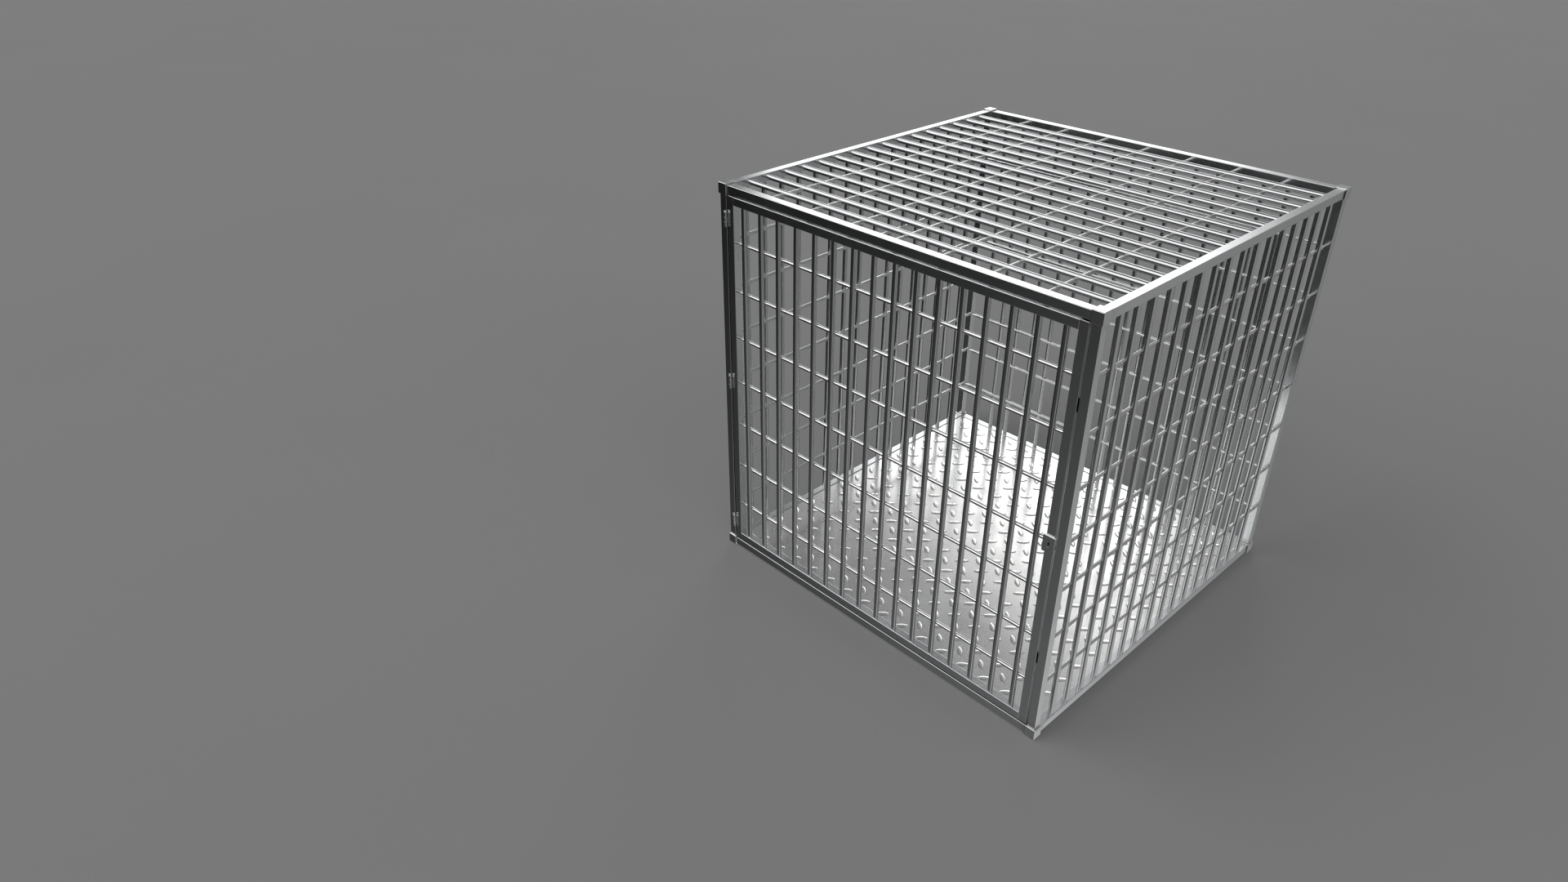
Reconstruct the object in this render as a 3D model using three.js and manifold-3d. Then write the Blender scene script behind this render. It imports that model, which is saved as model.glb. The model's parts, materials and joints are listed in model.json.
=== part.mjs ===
// A kennel cage for a veterinary clinic: a cube of square steel tube with a solid block at
// each corner, a welded grille of round rods in five faces, a tread plate floor, and a framed
// grille door that hangs on three pin hinges and locks with a sliding bolt.
//
// Millimetres, +Z up. The origin is the middle of the cage's footprint, on the floor. The door
// is the -Y face, its hinges are on the -X side, and its lock is on the +X side.

import * as THREE from "three";
import { mergeVertices } from "three/addons/utils/BufferGeometryUtils.js";
import Module from "manifold-3d";

const wasm = await Module();
wasm.setup();

// ---- Driving dimensions ----

const SIZE = 1000; // side of the cube, over the corner blocks
const BLOCK = 26.6; // side of a corner block
const TUBE = 20; // side of the frame's square tube
const WALL = 1.5; // wall of every tube
const TUBE_ROUND = 2; // radius on the outer edges of a tube
const ROUND_STEPS = 3; // segments in a quarter turn
const SPIGOT_LENGTH = 10; // how far a block's spigot enters its tube
const GAP = 0.3; // left between pieces that are welded or rest on each other

const ROD_COUNT = 16; // upright rods in a grille
const ROD_RADIUS = 6;
const ROD_SIDES = 8;
const ROD_PITCH = 56.8;
const ROD_DEPTH = 7.2; // from the tube's outer face to the rods' centres
const BAR_COUNT = 7; // crossbars, which lie behind the rods
const BAR_RADIUS = 4;
const BAR_SIDES = 6;
const BAR_PITCH = 120.7;
const WELD_SINK = 1.7; // how far a crossbar is pressed into each rod

const FLOOR_TOP = 21; // height of the floor plate's face
const FLOOR_THICKNESS = 3;
const BEARER_PLACES = { front: -160, back: 160 }; // flat bars on edge under the plate
const BEARER_WIDTH = 5;
const BEARER_HEIGHT = 12;

const DOOR_GAP = 3.7; // between the door and the tubes around it

const HINGE_HEIGHTS = { lower: 81, middle: 500, upper: 918 };
const HINGE_LENGTH = 33.6;
const HINGE_AXIS_IN = 25.3; // from the cage's left face
const HINGE_AXIS_OUT = 1.3; // in front of the cage's front face
const KNUCKLE_RADIUS = 3.8;
const KNUCKLE_BORE = 2.25;
const KNUCKLE_STEPS = 8; // segments in a half turn
const PIN_RADIUS = 2;
const PIN_HEAD_RADIUS = 3;
const PIN_HEAD_HEIGHT = 1.6;
const PIN_SIDES = 16;
const LEAF_REACH = 10; // from the hinge's axis to a leaf's far edge
const LEAF_THICKNESS = 1.4;

const LOCK_CENTRE = { x: 462, z: 501.6 };
const LOCK_PLATE = { width: 28.4, height: 39.5, thickness: 3, round: 1.5 };
const KEYHOLE = { radius: 1.9, slot: 1.8, length: 9 };
const CASE = { left: 11.9, below: 14, above: 8 }; // how far it reaches from the lock's centre
const CASE_DEPTH = 11; // from the stile's face to the back of the case
const CASE_WALL = 1;
const BOLT = { length: 20.9, height: 9, depth: 7, throw: 9 };
const BOLT_PLAY = 0.5; // around the bolt, where it passes through a wall
const BOLT_INSET = 2; // from the outside of the case's back corner to the bolt
const TALON = { width: 3.2, depth: 3.5 }; // the notch that the key's bit pushes
const SPRING_STRIP = { thickness: 0.6, width: 5, fixed: 6, bend: 1, rise: 2, free: 4 };

const STOP_HEIGHTS = { lower: -2.5 * BAR_PITCH, upper: 2.5 * BAR_PITCH }; // from mid height
const STOP = { width: 27, height: 30, thickness: 3 };

// ---- Places worked out from them ----

const HALF = SIZE / 2;
const SET_BACK = (BLOCK - TUBE) / 2; // from a block's face to its tubes' faces
const TUBE_OUT = HALF - SET_BACK; // from the cage's middle to a tube's outer face
const TUBE_IN = TUBE_OUT - TUBE; // and to its inner face
const TUBE_MID = HALF - BLOCK / 2;
const TUBE_LENGTH = SIZE - 2 * BLOCK - 2 * GAP;
const BAR_BEHIND = ROD_RADIUS + BAR_RADIUS - WELD_SINK; // from rods' to crossbars' centres

const DOOR_HALF = TUBE_IN - DOOR_GAP; // from the door's middle to its outer edge
const DOOR_OPENING = DOOR_HALF - TUBE;
const DOOR_FRONT = -TUBE_OUT;

// ---- Materials ----

const finish = (color, roughness, metalness) => ({ color, roughness, metalness });
const POLISHED = finish(0xc9cccd, 0.18, 1);
const BRIGHT = finish(0xdadcdc, 0.1, 1);
const CAST = finish(0xb4b8b9, 0.3, 1);
const TREAD = finish(0xc4c7c6, 0.35, 1);
const MILLED = finish(0x9a9da0, 0.4, 1);
const SPRING = finish(0x6f7478, 0.45, 1);

// ---- Solids ----

// A closed geometry as a solid that can be joined and cut.
function solid(geometry) {
  const bare = geometry.index ? geometry.toNonIndexed() : geometry;
  const shape = new THREE.BufferGeometry().setAttribute("position", bare.getAttribute("position"));
  const merged = mergeVertices(shape, 1e-3);
  const vertProperties = merged.attributes.position.array;
  const triVerts = new Uint32Array(merged.index.array);
  return new wasm.Manifold(new wasm.Mesh({ numProp: 3, vertProperties, triVerts }));
}

// A solid as a geometry.
function geometryOf(shape) {
  const { vertProperties, triVerts } = shape.getMesh();
  const geometry = new THREE.BufferGeometry();
  geometry.setAttribute("position", new THREE.BufferAttribute(vertProperties, 3));
  geometry.setIndex(new THREE.BufferAttribute(triVerts, 1));
  geometry.computeVertexNormals();
  return geometry;
}

// A box between a low and a high corner.
function block(low, high) {
  const size = high.map((v, i) => v - low[i]);
  const middle = high.map((v, i) => (v + low[i]) / 2);
  return new THREE.BoxGeometry(...size).translate(...middle);
}

const cutBox = (shape, low, high) => shape.subtract(solid(block(low, high)));

// A rectangle about the origin with rounded corners, as a shape that runs anticlockwise.
function roundedRectangle(width, height, round) {
  const [x, y] = [width / 2 - round, height / 2 - round];
  const outline = new THREE.Shape();
  [[x, y], [-x, y], [-x, -y], [x, -y]].forEach(([cx, cy], quarter) => {
    const start = (quarter * Math.PI) / 2;
    outline.absarc(cx, cy, round, start, start + Math.PI / 2);
  });
  outline.closePath();
  return outline;
}

function squareHole(side) {
  const half = side / 2;
  const corners = [[-half, -half], [half, -half], [half, half], [-half, half]];
  return new THREE.Path().setFromPoints(corners.map(([px, py]) => new THREE.Vector2(px, py)));
}

const extrude = (outline, depth, curveSegments = ROUND_STEPS) =>
  new THREE.ExtrudeGeometry(outline, { depth, curveSegments, bevelEnabled: false });

// A square tube along Z, centred on the origin, open at both ends.
function tube(side, length) {
  const section = roundedRectangle(side, side, TUBE_ROUND);
  section.holes.push(squareHole(side - 2 * WALL));
  return extrude(section, length).translate(0, 0, -length / 2);
}

// ---- The assembly ----

const cage = new THREE.Group();
const door = new THREE.Group();
cage.add(door);

function place(group, name, geometry, material, at = [0, 0, 0], turn = [0, 0, 0]) {
  const mesh = new THREE.Mesh(geometry, new THREE.MeshStandardMaterial(material));
  mesh.name = name;
  mesh.position.set(...at);
  mesh.rotation.set(...turn);
  group.add(mesh);
}

const QUARTER = Math.PI / 2;
const ALONG_X = [0, QUARTER, 0]; // turns a piece made along Z
const ALONG_Y = [QUARTER, 0, 0];
const SIDES = { left: -1, right: 1 };
const ENDS = { front: -1, back: 1 };
const LEVELS = { bottom: -1, top: 1 };
const heightOf = (level, distance) => HALF + level * distance;

// ---- Frame: corner blocks, posts and rails ----

// A cube with a spigot towards the cage's middle along each axis, for the three tubes.
function cornerBlock(signs) {
  const spigot = TUBE / 2 - WALL - GAP;
  const reach = BLOCK / 2 + SPIGOT_LENGTH;
  let shape = solid(new THREE.BoxGeometry(BLOCK, BLOCK, BLOCK));
  signs.forEach((sign, axis) => {
    const low = [-spigot, -spigot, -spigot];
    const high = [spigot, spigot, spigot];
    if (sign > 0) low[axis] = -reach;
    else high[axis] = reach;
    shape = shape.add(solid(block(low, high)));
  });
  return geometryOf(shape);
}

function frame() {
  for (const [level, sz] of Object.entries(LEVELS)) {
    const z = heightOf(sz, TUBE_MID);
    for (const [end, sy] of Object.entries(ENDS)) {
      for (const [side, sx] of Object.entries(SIDES)) {
        const at = [sx * TUBE_MID, sy * TUBE_MID, z];
        place(cage, `corner_${level}_${end}_${side}`, cornerBlock([sx, sy, sz]), CAST, at);
      }
      const rail = tube(TUBE, TUBE_LENGTH);
      place(cage, `rail_${level}_${end}`, rail, POLISHED, [0, sy * TUBE_MID, z], ALONG_X);
    }
    for (const [side, sx] of Object.entries(SIDES)) {
      const rail = tube(TUBE, TUBE_LENGTH);
      place(cage, `rail_${level}_${side}`, rail, POLISHED, [sx * TUBE_MID, 0, z], ALONG_Y);
    }
  }
  for (const [end, sy] of Object.entries(ENDS)) {
    for (const [side, sx] of Object.entries(SIDES)) {
      const takesBolt = sx > 0 && sy < 0;
      const post = tube(TUBE, TUBE_LENGTH);
      const at = [sx * TUBE_MID, sy * TUBE_MID, HALF];
      place(cage, `post_${end}_${side}`, takesBolt ? keeper(post, at) : post, POLISHED, at);
    }
  }
}

// The lock-side post, with the hole in its inner wall that the bolt is thrown into.
function keeper(post, at) {
  const wall = [TUBE_IN - GAP, TUBE_IN + WALL + GAP];
  const { low, high } = boltWay(wall, at);
  return geometryOf(cutBox(solid(post), low, high));
}

// ---- Grilles ----

// Rods along Z, and crossbars along X welded behind them, all as long as the square opening
// they fill, centred on the origin. The outside is -Y, and the rods' centres lie at y = 0.
function grille(side) {
  const rod = new THREE.CylinderGeometry(ROD_RADIUS, ROD_RADIUS, side, ROD_SIDES);
  rod.rotateX(QUARTER);
  const bar = new THREE.CylinderGeometry(BAR_RADIUS, BAR_RADIUS, side, BAR_SIDES);
  bar.rotateZ(QUARTER).rotateX(QUARTER);
  const copies = (geometry, count, pitch, move) =>
    Array.from({ length: count }, (_, i) => {
      const offset = (i - (count - 1) / 2) * pitch;
      return solid(geometry.clone().translate(...move(offset)));
    });
  const rods = copies(rod, ROD_COUNT, ROD_PITCH, (x) => [x, 0, 0]);
  const bars = copies(bar, BAR_COUNT, BAR_PITCH, (z) => [0, BAR_BEHIND, z]);
  return geometryOf([...rods, ...bars].reduce((whole, piece) => whole.add(piece)));
}

// Each fixed grille fills the opening between its four tubes.
function grilles() {
  const span = 2 * (TUBE_IN - GAP);
  const out = TUBE_OUT - ROD_DEPTH;
  const fixed = {
    right: { at: [out, 0, HALF], turn: [0, 0, QUARTER] },
    left: { at: [-out, 0, HALF], turn: [0, 0, -QUARTER] },
    back: { at: [0, out, HALF], turn: [0, 0, Math.PI] },
    top: { at: [0, 0, HALF + out], turn: [-QUARTER, QUARTER, 0] },
  };
  for (const [name, { at, turn }] of Object.entries(fixed)) {
    place(cage, `grille_${name}`, grille(span), BRIGHT, at, turn);
  }
}

// ---- Floor ----

// The plate fills the opening between the bottom rails, with its corners cut round the blocks.
function floor() {
  const side = TUBE_IN - GAP;
  const corner = HALF - BLOCK - GAP;
  const outline = new THREE.Shape();
  const steps = [[side, -corner], [side, corner], [corner, corner], [corner, side]];
  for (let quarter = 0; quarter < 4; quarter += 1) {
    const turn = (quarter * Math.PI) / 2;
    for (const [x, y] of steps.slice(0, 3)) {
      const point = new THREE.Vector2(x, y).rotateAround(new THREE.Vector2(), turn);
      if (quarter === 0 && y === -corner) outline.moveTo(point.x, point.y);
      else outline.lineTo(point.x, point.y);
    }
  }
  const plate = extrude(outline, FLOOR_THICKNESS);
  const underside = FLOOR_TOP - FLOOR_THICKNESS;
  place(cage, "floor_plate", plate, TREAD, [0, 0, underside]);
  for (const [name, y] of Object.entries(BEARER_PLACES)) {
    const bearer = new THREE.BoxGeometry(2 * side, BEARER_WIDTH, BEARER_HEIGHT);
    const z = underside - GAP - BEARER_HEIGHT / 2;
    place(cage, `floor_bearer_${name}`, bearer, POLISHED, [0, y, z]);
  }
}

// ---- Door ----

// Two stiles run the door's full height, and two rails fit between them.
function doorFrame() {
  const mid = DOOR_HALF - TUBE / 2;
  const y = DOOR_FRONT + TUBE / 2;
  for (const [side, sx] of Object.entries(SIDES)) {
    const stile = tube(TUBE, 2 * DOOR_HALF);
    const at = [sx * mid, y, HALF];
    const holdsLock = sx > 0;
    place(door, `door_stile_${side}`, holdsLock ? lockStile(stile, at) : stile, POLISHED, at);
  }
  const span = 2 * (DOOR_OPENING - GAP);
  for (const [level, sz] of Object.entries(LEVELS)) {
    const rail = tube(TUBE, span);
    const at = [0, y, heightOf(sz, mid)];
    place(door, `door_rail_${level}`, rail, POLISHED, at, ALONG_X);
  }
  const rodsAt = DOOR_FRONT + ROD_DEPTH;
  place(door, "door_grille", grille(span), BRIGHT, [0, rodsAt, HALF]);
}

// ---- Hinges ----

// One leaf, about the hinge's axis at the origin. Its knuckles fill the rows that it is given,
// counted from the bottom, and it lies behind the axis, on the side that the sign says.
function hingeLeaf(sign, rows) {
  const rowLength = (HINGE_LENGTH - 2 * GAP) / 3;
  const behind = SET_BACK + HINGE_AXIS_OUT - GAP;
  const across = (from, to) => (sign > 0 ? [from, to] : [-to, -from]);
  const [x0, x1] = across(KNUCKLE_RADIUS + GAP, LEAF_REACH);
  const low = [x0, behind - LEAF_THICKNESS, -HINGE_LENGTH / 2];
  let leaf = solid(block(low, [x1, behind, HINGE_LENGTH / 2]));
  for (const row of rows) {
    const z = -HINGE_LENGTH / 2 + row * (rowLength + GAP);
    const [t0, t1] = across(0, KNUCKLE_RADIUS + 2 * GAP);
    const tongueLow = [t0, behind - LEAF_THICKNESS, z];
    leaf = leaf.add(solid(block(tongueLow, [t1, behind, z + rowLength])));
    const ring = new THREE.Shape().absarc(0, 0, KNUCKLE_RADIUS, 0, 2 * Math.PI);
    ring.holes.push(new THREE.Path().absarc(0, 0, KNUCKLE_BORE, 0, 2 * Math.PI));
    leaf = leaf.add(solid(extrude(ring, rowLength, KNUCKLE_STEPS).translate(0, 0, z)));
  }
  return geometryOf(leaf);
}

// A pin along Z with a low round head at each end.
function hingePin() {
  const half = HINGE_LENGTH / 2 + GAP;
  const end = half + PIN_HEAD_HEIGHT;
  const upper = [
    [PIN_RADIUS, half],
    [PIN_HEAD_RADIUS, half],
    [PIN_HEAD_RADIUS, half + PIN_HEAD_HEIGHT / 2],
    [PIN_HEAD_RADIUS / 2, end],
    [0, end],
  ];
  const lower = upper.map(([r, z]) => [r, -z]).reverse();
  const profile = [...lower, ...upper].map(([r, z]) => new THREE.Vector2(r, z));
  return new THREE.LatheGeometry(profile, PIN_SIDES).rotateX(QUARTER);
}

function hinges() {
  for (const [name, height] of Object.entries(HINGE_HEIGHTS)) {
    const at = [-HALF + HINGE_AXIS_IN, -HALF - HINGE_AXIS_OUT, height];
    place(cage, `hinge_${name}_frame_leaf`, hingeLeaf(-1, [0, 2]), MILLED, at);
    place(cage, `hinge_${name}_pin`, hingePin(), MILLED, at);
    place(door, `hinge_${name}_door_leaf`, hingeLeaf(1, [1]), MILLED, at);
  }
}

// ---- Lock ----

// The case sits in a pocket behind the plate. The key turns about a line along Y through the
// round of the keyhole, and its bit swings through the talon in the bolt's upper edge.
const KEY_Z = LOCK_CENTRE.z + KEYHOLE.length / 2 - KEYHOLE.radius;
const PLATE_BACK = DOOR_FRONT - GAP;
const CASE_LOW = [LOCK_CENTRE.x - CASE.left, DOOR_FRONT + GAP, LOCK_CENTRE.z - CASE.below];
const CASE_HIGH = [
  DOOR_HALF - WALL - GAP,
  DOOR_FRONT + CASE_DEPTH,
  LOCK_CENTRE.z + CASE.above,
];
const BOLT_LOW = [
  DOOR_HALF - GAP - BOLT.length,
  CASE_LOW[1] + BOLT_INSET,
  CASE_LOW[2] + BOLT_INSET,
];

// The hole that the bolt passes through in an upright wall, seen from a piece placed at `at`.
function boltWay([x0, x1], at) {
  const [, y, z] = BOLT_LOW;
  const low = [x0, y - BOLT_PLAY, z - BOLT_PLAY];
  const high = [x1, y + BOLT.depth + BOLT_PLAY, z + BOLT.height + BOLT_PLAY];
  return { low: low.map((v, i) => v - at[i]), high: high.map((v, i) => v - at[i]) };
}

// The lock-side stile, with the pocket for the case and the hole for the bolt.
function lockStile(stile, at) {
  const pocketLow = CASE_LOW.map((v, i) => v - GAP - at[i]);
  pocketLow[1] = -TUBE;
  const pocketHigh = CASE_HIGH.map((v, i) => v + GAP - at[i]);
  const pocketed = cutBox(solid(stile), pocketLow, pocketHigh);
  const { low, high } = boltWay([DOOR_HALF - WALL - GAP, DOOR_HALF + GAP], at);
  return geometryOf(cutBox(pocketed, low, high));
}

// A plate with a keyhole: a round with a slot below it.
function lockPlate() {
  const plate = roundedRectangle(LOCK_PLATE.width, LOCK_PLATE.height, LOCK_PLATE.round);
  const { radius, slot, length } = KEYHOLE;
  const centre = length / 2 - radius;
  const half = Math.asin(slot / 2 / radius);
  const hole = new THREE.Path();
  hole.moveTo(-slot / 2, -length / 2);
  hole.lineTo(slot / 2, -length / 2);
  hole.absarc(0, centre, radius, -Math.PI / 2 + half, (3 * Math.PI) / 2 - half);
  hole.closePath();
  plate.holes.push(hole);
  return extrude(plate, LOCK_PLATE.thickness, KNUCKLE_STEPS);
}

// A shallow box, open towards the plate and where the bolt leaves it.
function lockCase() {
  const [x0, y0, z0] = CASE_LOW;
  const [x1, y1, z1] = CASE_HIGH;
  const hollowLow = [x0 + CASE_WALL, y0 - GAP, z0 + CASE_WALL];
  const hollowHigh = [x1 + GAP, y1 - CASE_WALL, z1 - CASE_WALL];
  return geometryOf(cutBox(solid(block(CASE_LOW, CASE_HIGH)), hollowLow, hollowHigh));
}

function lockBolt() {
  const [x, y, z] = BOLT_LOW;
  const high = [x + BOLT.length, y + BOLT.depth, z + BOLT.height];
  const talon = LOCK_CENTRE.x - BOLT.throw / 2;
  const notchLow = [talon - TALON.width / 2, y - GAP, high[2] - TALON.depth];
  const notchHigh = [talon + TALON.width / 2, high[1] + GAP, high[2] + GAP];
  return geometryOf(cutBox(solid(block(BOLT_LOW, high)), notchLow, notchHigh));
}

// A bent strip under the case's roof, whose free end bears on the bolt and holds it put.
function boltSpring() {
  const { thickness, width, fixed, bend, rise, free } = SPRING_STRIP;
  const half = thickness / 2;
  const roof = CASE_HIGH[2] - CASE_WALL - GAP - half;
  const rest = BOLT_LOW[2] + BOLT.height + GAP + half;
  const left = CASE_LOW[0] + CASE_WALL + GAP + half;
  const line = [
    [left + fixed, roof],
    [left, roof - bend],
    [left + bend, rest + rise],
    [left + free, rest],
  ];
  const points = line.map(([x, z]) => new THREE.Vector2(x, z));
  const edge = (side) =>
    points.map((point, i) => {
      const before = points[Math.max(i - 1, 0)];
      const after = points[Math.min(i + 1, points.length - 1)];
      const along = after.clone().sub(before).normalize();
      return new THREE.Vector2(-along.y, along.x).multiplyScalar(side * half).add(point);
    });
  const outline = new THREE.Shape([...edge(1), ...edge(-1).reverse()]);
  return extrude(outline, width);
}

function lock() {
  const plateAt = [LOCK_CENTRE.x, PLATE_BACK, LOCK_CENTRE.z];
  place(door, "lock_plate", lockPlate(), BRIGHT, plateAt, [QUARTER, 0, 0]);
  place(door, "lock_case", lockCase(), MILLED);
  place(door, "lock_bolt", lockBolt(), MILLED);
  const springAt = [0, BOLT_LOW[1] + BOLT.depth - 1, 0];
  place(door, "lock_spring", boltSpring(), SPRING, springAt, [QUARTER, 0, 0]);
}

// ---- Door stops: tabs on the lock-side post that the closed door rests against ----

function doorStops() {
  for (const [name, height] of Object.entries(STOP_HEIGHTS)) {
    const tab = new THREE.BoxGeometry(STOP.width, STOP.thickness, STOP.height);
    const y = -TUBE_IN + GAP + STOP.thickness / 2;
    const x = TUBE_IN - STOP.width / 2 + BLOCK / 2;
    place(cage, `door_stop_${name}`, tab, POLISHED, [x, y, HALF + height]);
  }
}

frame();
grilles();
floor();
doorFrame();
hinges();
lock();
doorStops();

export default cage;
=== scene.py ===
"""Looks for the kennel cage: polished square tube, bright round rods and a tread plate floor.

Everything is in metres in the frame of the packed model: +Z up, the door on the -Y side, its
hinges on the -X side and its lock on the +X side, and the origin in the middle of the footprint.
"""

import json
from math import pi, radians

import bmesh
import bpy
import numpy as np
from bpy.props import (
    FloatProperty,
    FloatVectorProperty,
    IntProperty,
    PointerProperty,
)
from mathutils import Matrix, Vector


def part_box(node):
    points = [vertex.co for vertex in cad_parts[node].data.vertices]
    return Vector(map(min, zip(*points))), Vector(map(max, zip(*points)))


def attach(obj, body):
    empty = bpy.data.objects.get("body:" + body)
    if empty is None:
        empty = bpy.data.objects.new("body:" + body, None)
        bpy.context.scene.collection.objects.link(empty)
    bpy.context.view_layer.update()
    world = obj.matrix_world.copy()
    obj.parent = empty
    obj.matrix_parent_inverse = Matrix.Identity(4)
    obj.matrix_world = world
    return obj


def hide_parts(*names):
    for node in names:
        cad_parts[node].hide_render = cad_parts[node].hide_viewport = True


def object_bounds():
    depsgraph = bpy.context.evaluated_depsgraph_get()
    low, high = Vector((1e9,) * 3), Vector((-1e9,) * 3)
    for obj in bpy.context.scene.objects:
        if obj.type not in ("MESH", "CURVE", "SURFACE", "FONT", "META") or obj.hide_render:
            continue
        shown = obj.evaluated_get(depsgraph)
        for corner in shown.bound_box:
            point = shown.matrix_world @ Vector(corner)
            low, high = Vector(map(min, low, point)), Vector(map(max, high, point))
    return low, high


bl_info = {
    "name": "Kennel cage",
    "version": (1, 0, 0),
    "blender": (4, 5, 0),
    "location": "3D View > Sidebar > Kennel cage",
    "description": "Builds the finished surfaces of a steel kennel cage",
    "category": "Add Mesh",
}

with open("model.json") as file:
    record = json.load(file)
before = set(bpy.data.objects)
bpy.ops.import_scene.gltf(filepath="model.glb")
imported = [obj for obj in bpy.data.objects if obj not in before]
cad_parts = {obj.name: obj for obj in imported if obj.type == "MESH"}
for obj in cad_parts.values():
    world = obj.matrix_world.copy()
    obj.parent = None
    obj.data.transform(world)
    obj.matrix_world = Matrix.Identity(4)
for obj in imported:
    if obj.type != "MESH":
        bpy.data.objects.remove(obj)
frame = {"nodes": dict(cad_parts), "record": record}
cad_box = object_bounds()

RECORD = frame["record"]
BODY_OF = {
    node: body
    for body, nodes in RECORD["behaviour"]["bodies"].items()
    for node in nodes
}
SLOT_OF = {part["node"]: part["material_slot"] for part in RECORD["subparts"]}
MM = 0.001
QUARTERS = ((1, 0), (0, 1), (-1, 0), (0, -1))  # cosine and sine of each quarter turn
FLAT_STRIP = 0.12 * MM  # width of the strip beside a round edge that keeps a flat face flat
SHARP_EDGE = 32  # degrees from which an edge shows sharp


def node_box(node):
    """The lowest and highest corners of a packed node, as arrays."""
    low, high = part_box(node)
    return np.array(low), np.array(high)


# ---- Sizes and colours that a user would change ----


def length(name, description, millimetres):
    """A length that the panel shows. Its default is given in millimetres."""
    return FloatProperty(
        name=name,
        description=description,
        default=millimetres * MM,
        min=0.0,
        subtype="DISTANCE",
        unit="LENGTH",
        precision=4,
    )


def colour(name, description, value):
    """A colour that the panel shows."""
    return FloatVectorProperty(
        name=name, description=description, default=value, min=0.0, max=1.0, subtype="COLOR"
    )


class FrameSizes(bpy.types.PropertyGroup):
    """Sizes of the square tubes and the corner blocks."""

    tube_round: length("Tube edge", "Radius of a tube's long edges", 1.4)
    tube_wall: length("Tube wall", "Thickness of a tube's wall", 1.5)
    end_bevel: length("Tube end", "Bevel round the end of a tube", 0.45)
    block_side: length("Block side", "Side of a corner block", 26.6)
    block_round: length("Block edge", "Radius of a corner block's edges", 1.7)


class GrilleSizes(bpy.types.PropertyGroup):
    """Sizes of the welded grilles."""

    rod_count: IntProperty(name="Rods", description="Rods in a grille", default=16, min=1)
    rod_diameter: length("Rod diameter", "Diameter of a rod", 12.2)
    rod_pitch: length("Rod pitch", "Between the centres of two rods", 56.8)
    rod_depth: length("Rod depth", "From the tubes' outer face to a rod's centre", 8.0)
    bar_count: IntProperty(name="Crossbars", description="Crossbars in a grille", default=7, min=1)
    bar_diameter: length("Crossbar diameter", "Diameter of a crossbar", 8.8)
    bar_pitch: length("Crossbar pitch", "Between the centres of two crossbars", 120.7)
    bar_depth: length("Crossbar depth", "From the tubes' outer face to a crossbar's centre", 13.0)


class FloorSizes(bpy.types.PropertyGroup):
    """Sizes of the tread plate."""

    lug_pitch: length("Lug pitch", "Between two lugs that lie the same way", 62.0)
    lug_length: length("Lug length", "Length of a lug", 36.5)
    lug_width: length("Lug width", "Width of a lug in its middle", 13.5)
    lug_height: length("Lug height", "How far a lug stands above the plate", 1.4)
    lug_right: length("Lugs to the right", "How far the row of lugs is off the middle", 11.0)
    lug_front: length("Lugs to the front", "How far the row of lugs is off the middle", 10.0)


class HingeSizes(bpy.types.PropertyGroup):
    """Sizes of the pin hinges."""

    knuckle_diameter: length("Knuckle diameter", "Diameter of a hinge's knuckles", 7.8)
    pin_diameter: length("Pin diameter", "Diameter of a hinge's pin", 4.0)
    leaf_thickness: length("Leaf", "Thickness of a hinge's leaf", 1.4)


class LockSizes(bpy.types.PropertyGroup):
    """Sizes of the lock plate and its keyhole."""

    plate_edge: length("Plate edge", "Bevel round the lock plate's face", 0.7)
    keyhole_round: length("Keyhole round", "Radius of the keyhole's round", 2.6)
    keyhole_slot: length("Keyhole slot", "Width of the keyhole's slot", 2.4)
    keyhole_length: length("Keyhole length", "Height of the whole keyhole", 10.6)


class SteelColours(bpy.types.PropertyGroup):
    """Colours of the steels."""

    tube: colour("Tube", "Polished tube and corner blocks", (0.60, 0.615, 0.62))
    rod: colour("Rod", "Bright drawn rod", (0.50, 0.51, 0.515))
    bar: colour("Crossbar", "Bright drawn crossbar", (0.60, 0.61, 0.615))
    plate: colour("Plate", "Tread plate", (0.70, 0.70, 0.695))
    hinge: colour("Hinge", "Machined hinge", (0.55, 0.555, 0.56))
    works: colour("Works", "Lock works and floor bearers", (0.42, 0.425, 0.43))
    weld: colour("Weld", "Steel that a weld has tinted", (0.50, 0.46, 0.41))


class StageSettings(bpy.types.PropertyGroup):
    """Floor, light and camera."""

    floor: colour("Floor", "Colour of the studio floor", (0.25, 0.25, 0.253))
    sky: FloatProperty(name="Sky", description="Strength of the studio light", default=1.0, min=0.0)
    lens: FloatProperty(name="Lens", description="Focal length in millimetres", default=24.42)


def settings(name):
    """The scene's own copy of a group of sizes or colours."""
    return getattr(bpy.context.scene, "kennel_" + name)


# ---- Surfaces ----


def quads_of_grid(rows, columns):
    """Corner numbers of the four-sided faces between the points of a grid."""
    first = np.arange(rows - 1)[:, None] * columns + np.arange(columns - 1)[None]
    corners = (first, first + 1, first + columns + 1, first + columns)
    return np.stack(corners, -1).reshape(-1, 4)


def loft(rings, along, around, wrap_rows=False):
    """A surface through closed rings of points. A ring that shrinks to one point closes an end,
    and wrap_rows joins the last ring to the first, as in a tube with an inner wall.
    along is the distance of each ring, and around the distance of each point round a ring."""
    closed = np.concatenate([rings, rings[:, :1]], 1)
    loop = np.append(around, 2 * around[-1] - around[-2])
    flat = np.stack(np.broadcast_arrays(np.asarray(along)[:, None], loop[None]), -1)
    if wrap_rows:
        closed = np.concatenate([closed, closed[:1]], 0)
        flat = np.concatenate([flat, flat[:1]], 0)
    return closed.reshape(-1, 3), quads_of_grid(*closed.shape[:2]), flat.reshape(-1, 2)


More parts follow.
